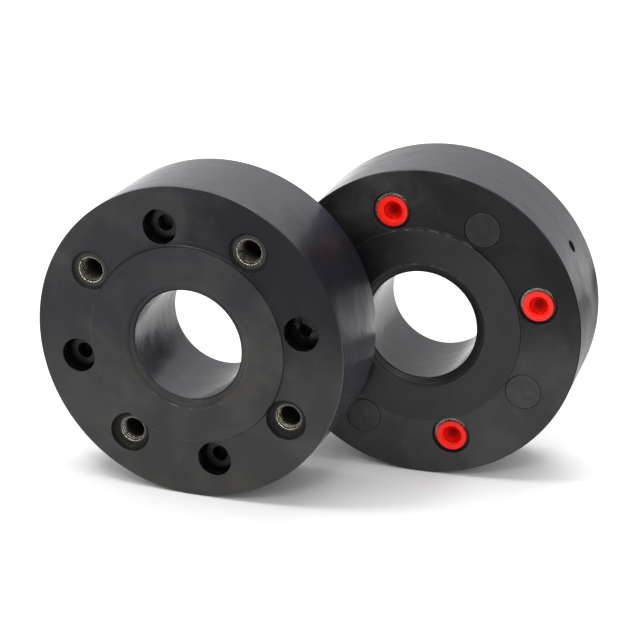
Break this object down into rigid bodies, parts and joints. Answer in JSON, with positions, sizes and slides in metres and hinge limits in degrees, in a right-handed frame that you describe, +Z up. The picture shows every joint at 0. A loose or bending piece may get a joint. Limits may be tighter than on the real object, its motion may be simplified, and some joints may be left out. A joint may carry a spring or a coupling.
{
  "type": "flexible coupling element set",
  "caption": "Torsionally flexible coupling elements: thick rubber rings with bonded threaded steel bushes facing alternate sides, shown open and with transit caps.",
  "frame": {"origin": "middle of the bore of the open element, half way between its two faces", "axes": "+Z up with the elements standing on their rims, +Y along the open element's axis from its front face to its rear face, +X towards the capped element"},
  "size_m": [0.3239, 0.1512, 0.2],
  "materials": {
    "ring_rubber": "moulded charcoal-black rubber with a faint bloom, semi-gloss rim and bore",
    "bush_steel": "phosphated olive-grey steel, bright where the thread is cut",
    "cap_plastic": "glossy red moulded polyethylene",
    "disc_rubber": "matt charcoal-black rubber"
  },
  "bodies": {
    "element_a": {"rubber_ring_a": "ring_rubber", "bush_a_front_1": "bush_steel", "bush_a_front_2": "bush_steel", "bush_a_front_3": "bush_steel", "bush_a_front_4": "bush_steel"},
    "rear_bushes_a": {"bush_a_rear_1": "bush_steel", "bush_a_rear_2": "bush_steel", "bush_a_rear_3": "bush_steel", "bush_a_rear_4": "bush_steel"},
    "element_b": {"rubber_ring_b": "ring_rubber", "bush_b_front_1": "bush_steel", "bush_b_front_2": "bush_steel", "bush_b_front_3": "bush_steel", "bush_b_front_4": "bush_steel", "disc_b_rear_1": "disc_rubber", "disc_b_rear_2": "disc_rubber", "disc_b_rear_3": "disc_rubber", "disc_b_rear_4": "disc_rubber"},
    "rear_bushes_b": {"bush_b_rear_1": "bush_steel", "bush_b_rear_2": "bush_steel", "bush_b_rear_3": "bush_steel", "bush_b_rear_4": "bush_steel", "disc_b_front_1": "disc_rubber", "disc_b_front_2": "disc_rubber", "disc_b_front_3": "disc_rubber", "disc_b_front_4": "disc_rubber"},
    "cap_front_1": {"cap_b_front_1": "cap_plastic"},
    "cap_rear_1": {"cap_b_rear_1": "cap_plastic"},
    "cap_front_2": {"cap_b_front_2": "cap_plastic"},
    "cap_rear_2": {"cap_b_rear_2": "cap_plastic"},
    "cap_front_3": {"cap_b_front_3": "cap_plastic"},
    "cap_rear_3": {"cap_b_rear_3": "cap_plastic"},
    "cap_front_4": {"cap_b_front_4": "cap_plastic"},
    "cap_rear_4": {"cap_b_rear_4": "cap_plastic"}
  },
  "joints": [
    {"name": "wind_up_a", "type": "hinge", "parent": "element_a", "child": "rear_bushes_a", "pos_m": [0, 0, 0], "axis": [0, 1, 0], "range_deg": [-5, 5], "stiffness_Nm_per_rad": 800, "deforming": ["rubber_ring_a"]},
    {"name": "set_apart", "type": "slide", "parent": "element_a", "child": "element_b", "axis": [-0.0401, 0.9992, 0], "range_m": [0, 0.08]},
    {"name": "wind_up_b", "type": "hinge", "parent": "element_b", "child": "rear_bushes_b", "pos_m": [0.1227, 0.0803, 0], "axis": [-0.0401, 0.9992, 0], "range_deg": [-5, 5], "stiffness_Nm_per_rad": 800, "deforming": ["rubber_ring_b"]},
    {"name": "cap_front_1_pull", "type": "slide", "parent": "element_b", "child": "cap_front_1", "axis": [0.0401, -0.9992, 0], "range_m": [0, 0.011]},
    {"name": "cap_rear_1_pull", "type": "slide", "parent": "rear_bushes_b", "child": "cap_rear_1", "axis": [-0.0401, 0.9992, 0], "range_m": [0, 0.011]},
    {"name": "cap_front_2_pull", "type": "slide", "parent": "element_b", "child": "cap_front_2", "axis": [0.0401, -0.9992, 0], "range_m": [0, 0.011]},
    {"name": "cap_rear_2_pull", "type": "slide", "parent": "rear_bushes_b", "child": "cap_rear_2", "axis": [-0.0401, 0.9992, 0], "range_m": [0, 0.011]},
    {"name": "cap_front_3_pull", "type": "slide", "parent": "element_b", "child": "cap_front_3", "axis": [0.0401, -0.9992, 0], "range_m": [0, 0.011]},
    {"name": "cap_rear_3_pull", "type": "slide", "parent": "rear_bushes_b", "child": "cap_rear_3", "axis": [-0.0401, 0.9992, 0], "range_m": [0, 0.011]},
    {"name": "cap_front_4_pull", "type": "slide", "parent": "element_b", "child": "cap_front_4", "axis": [0.0401, -0.9992, 0], "range_m": [0, 0.011]},
    {"name": "cap_rear_4_pull", "type": "slide", "parent": "rear_bushes_b", "child": "cap_rear_4", "axis": [-0.0401, 0.9992, 0], "range_m": [0, 0.011]}
  ]
}
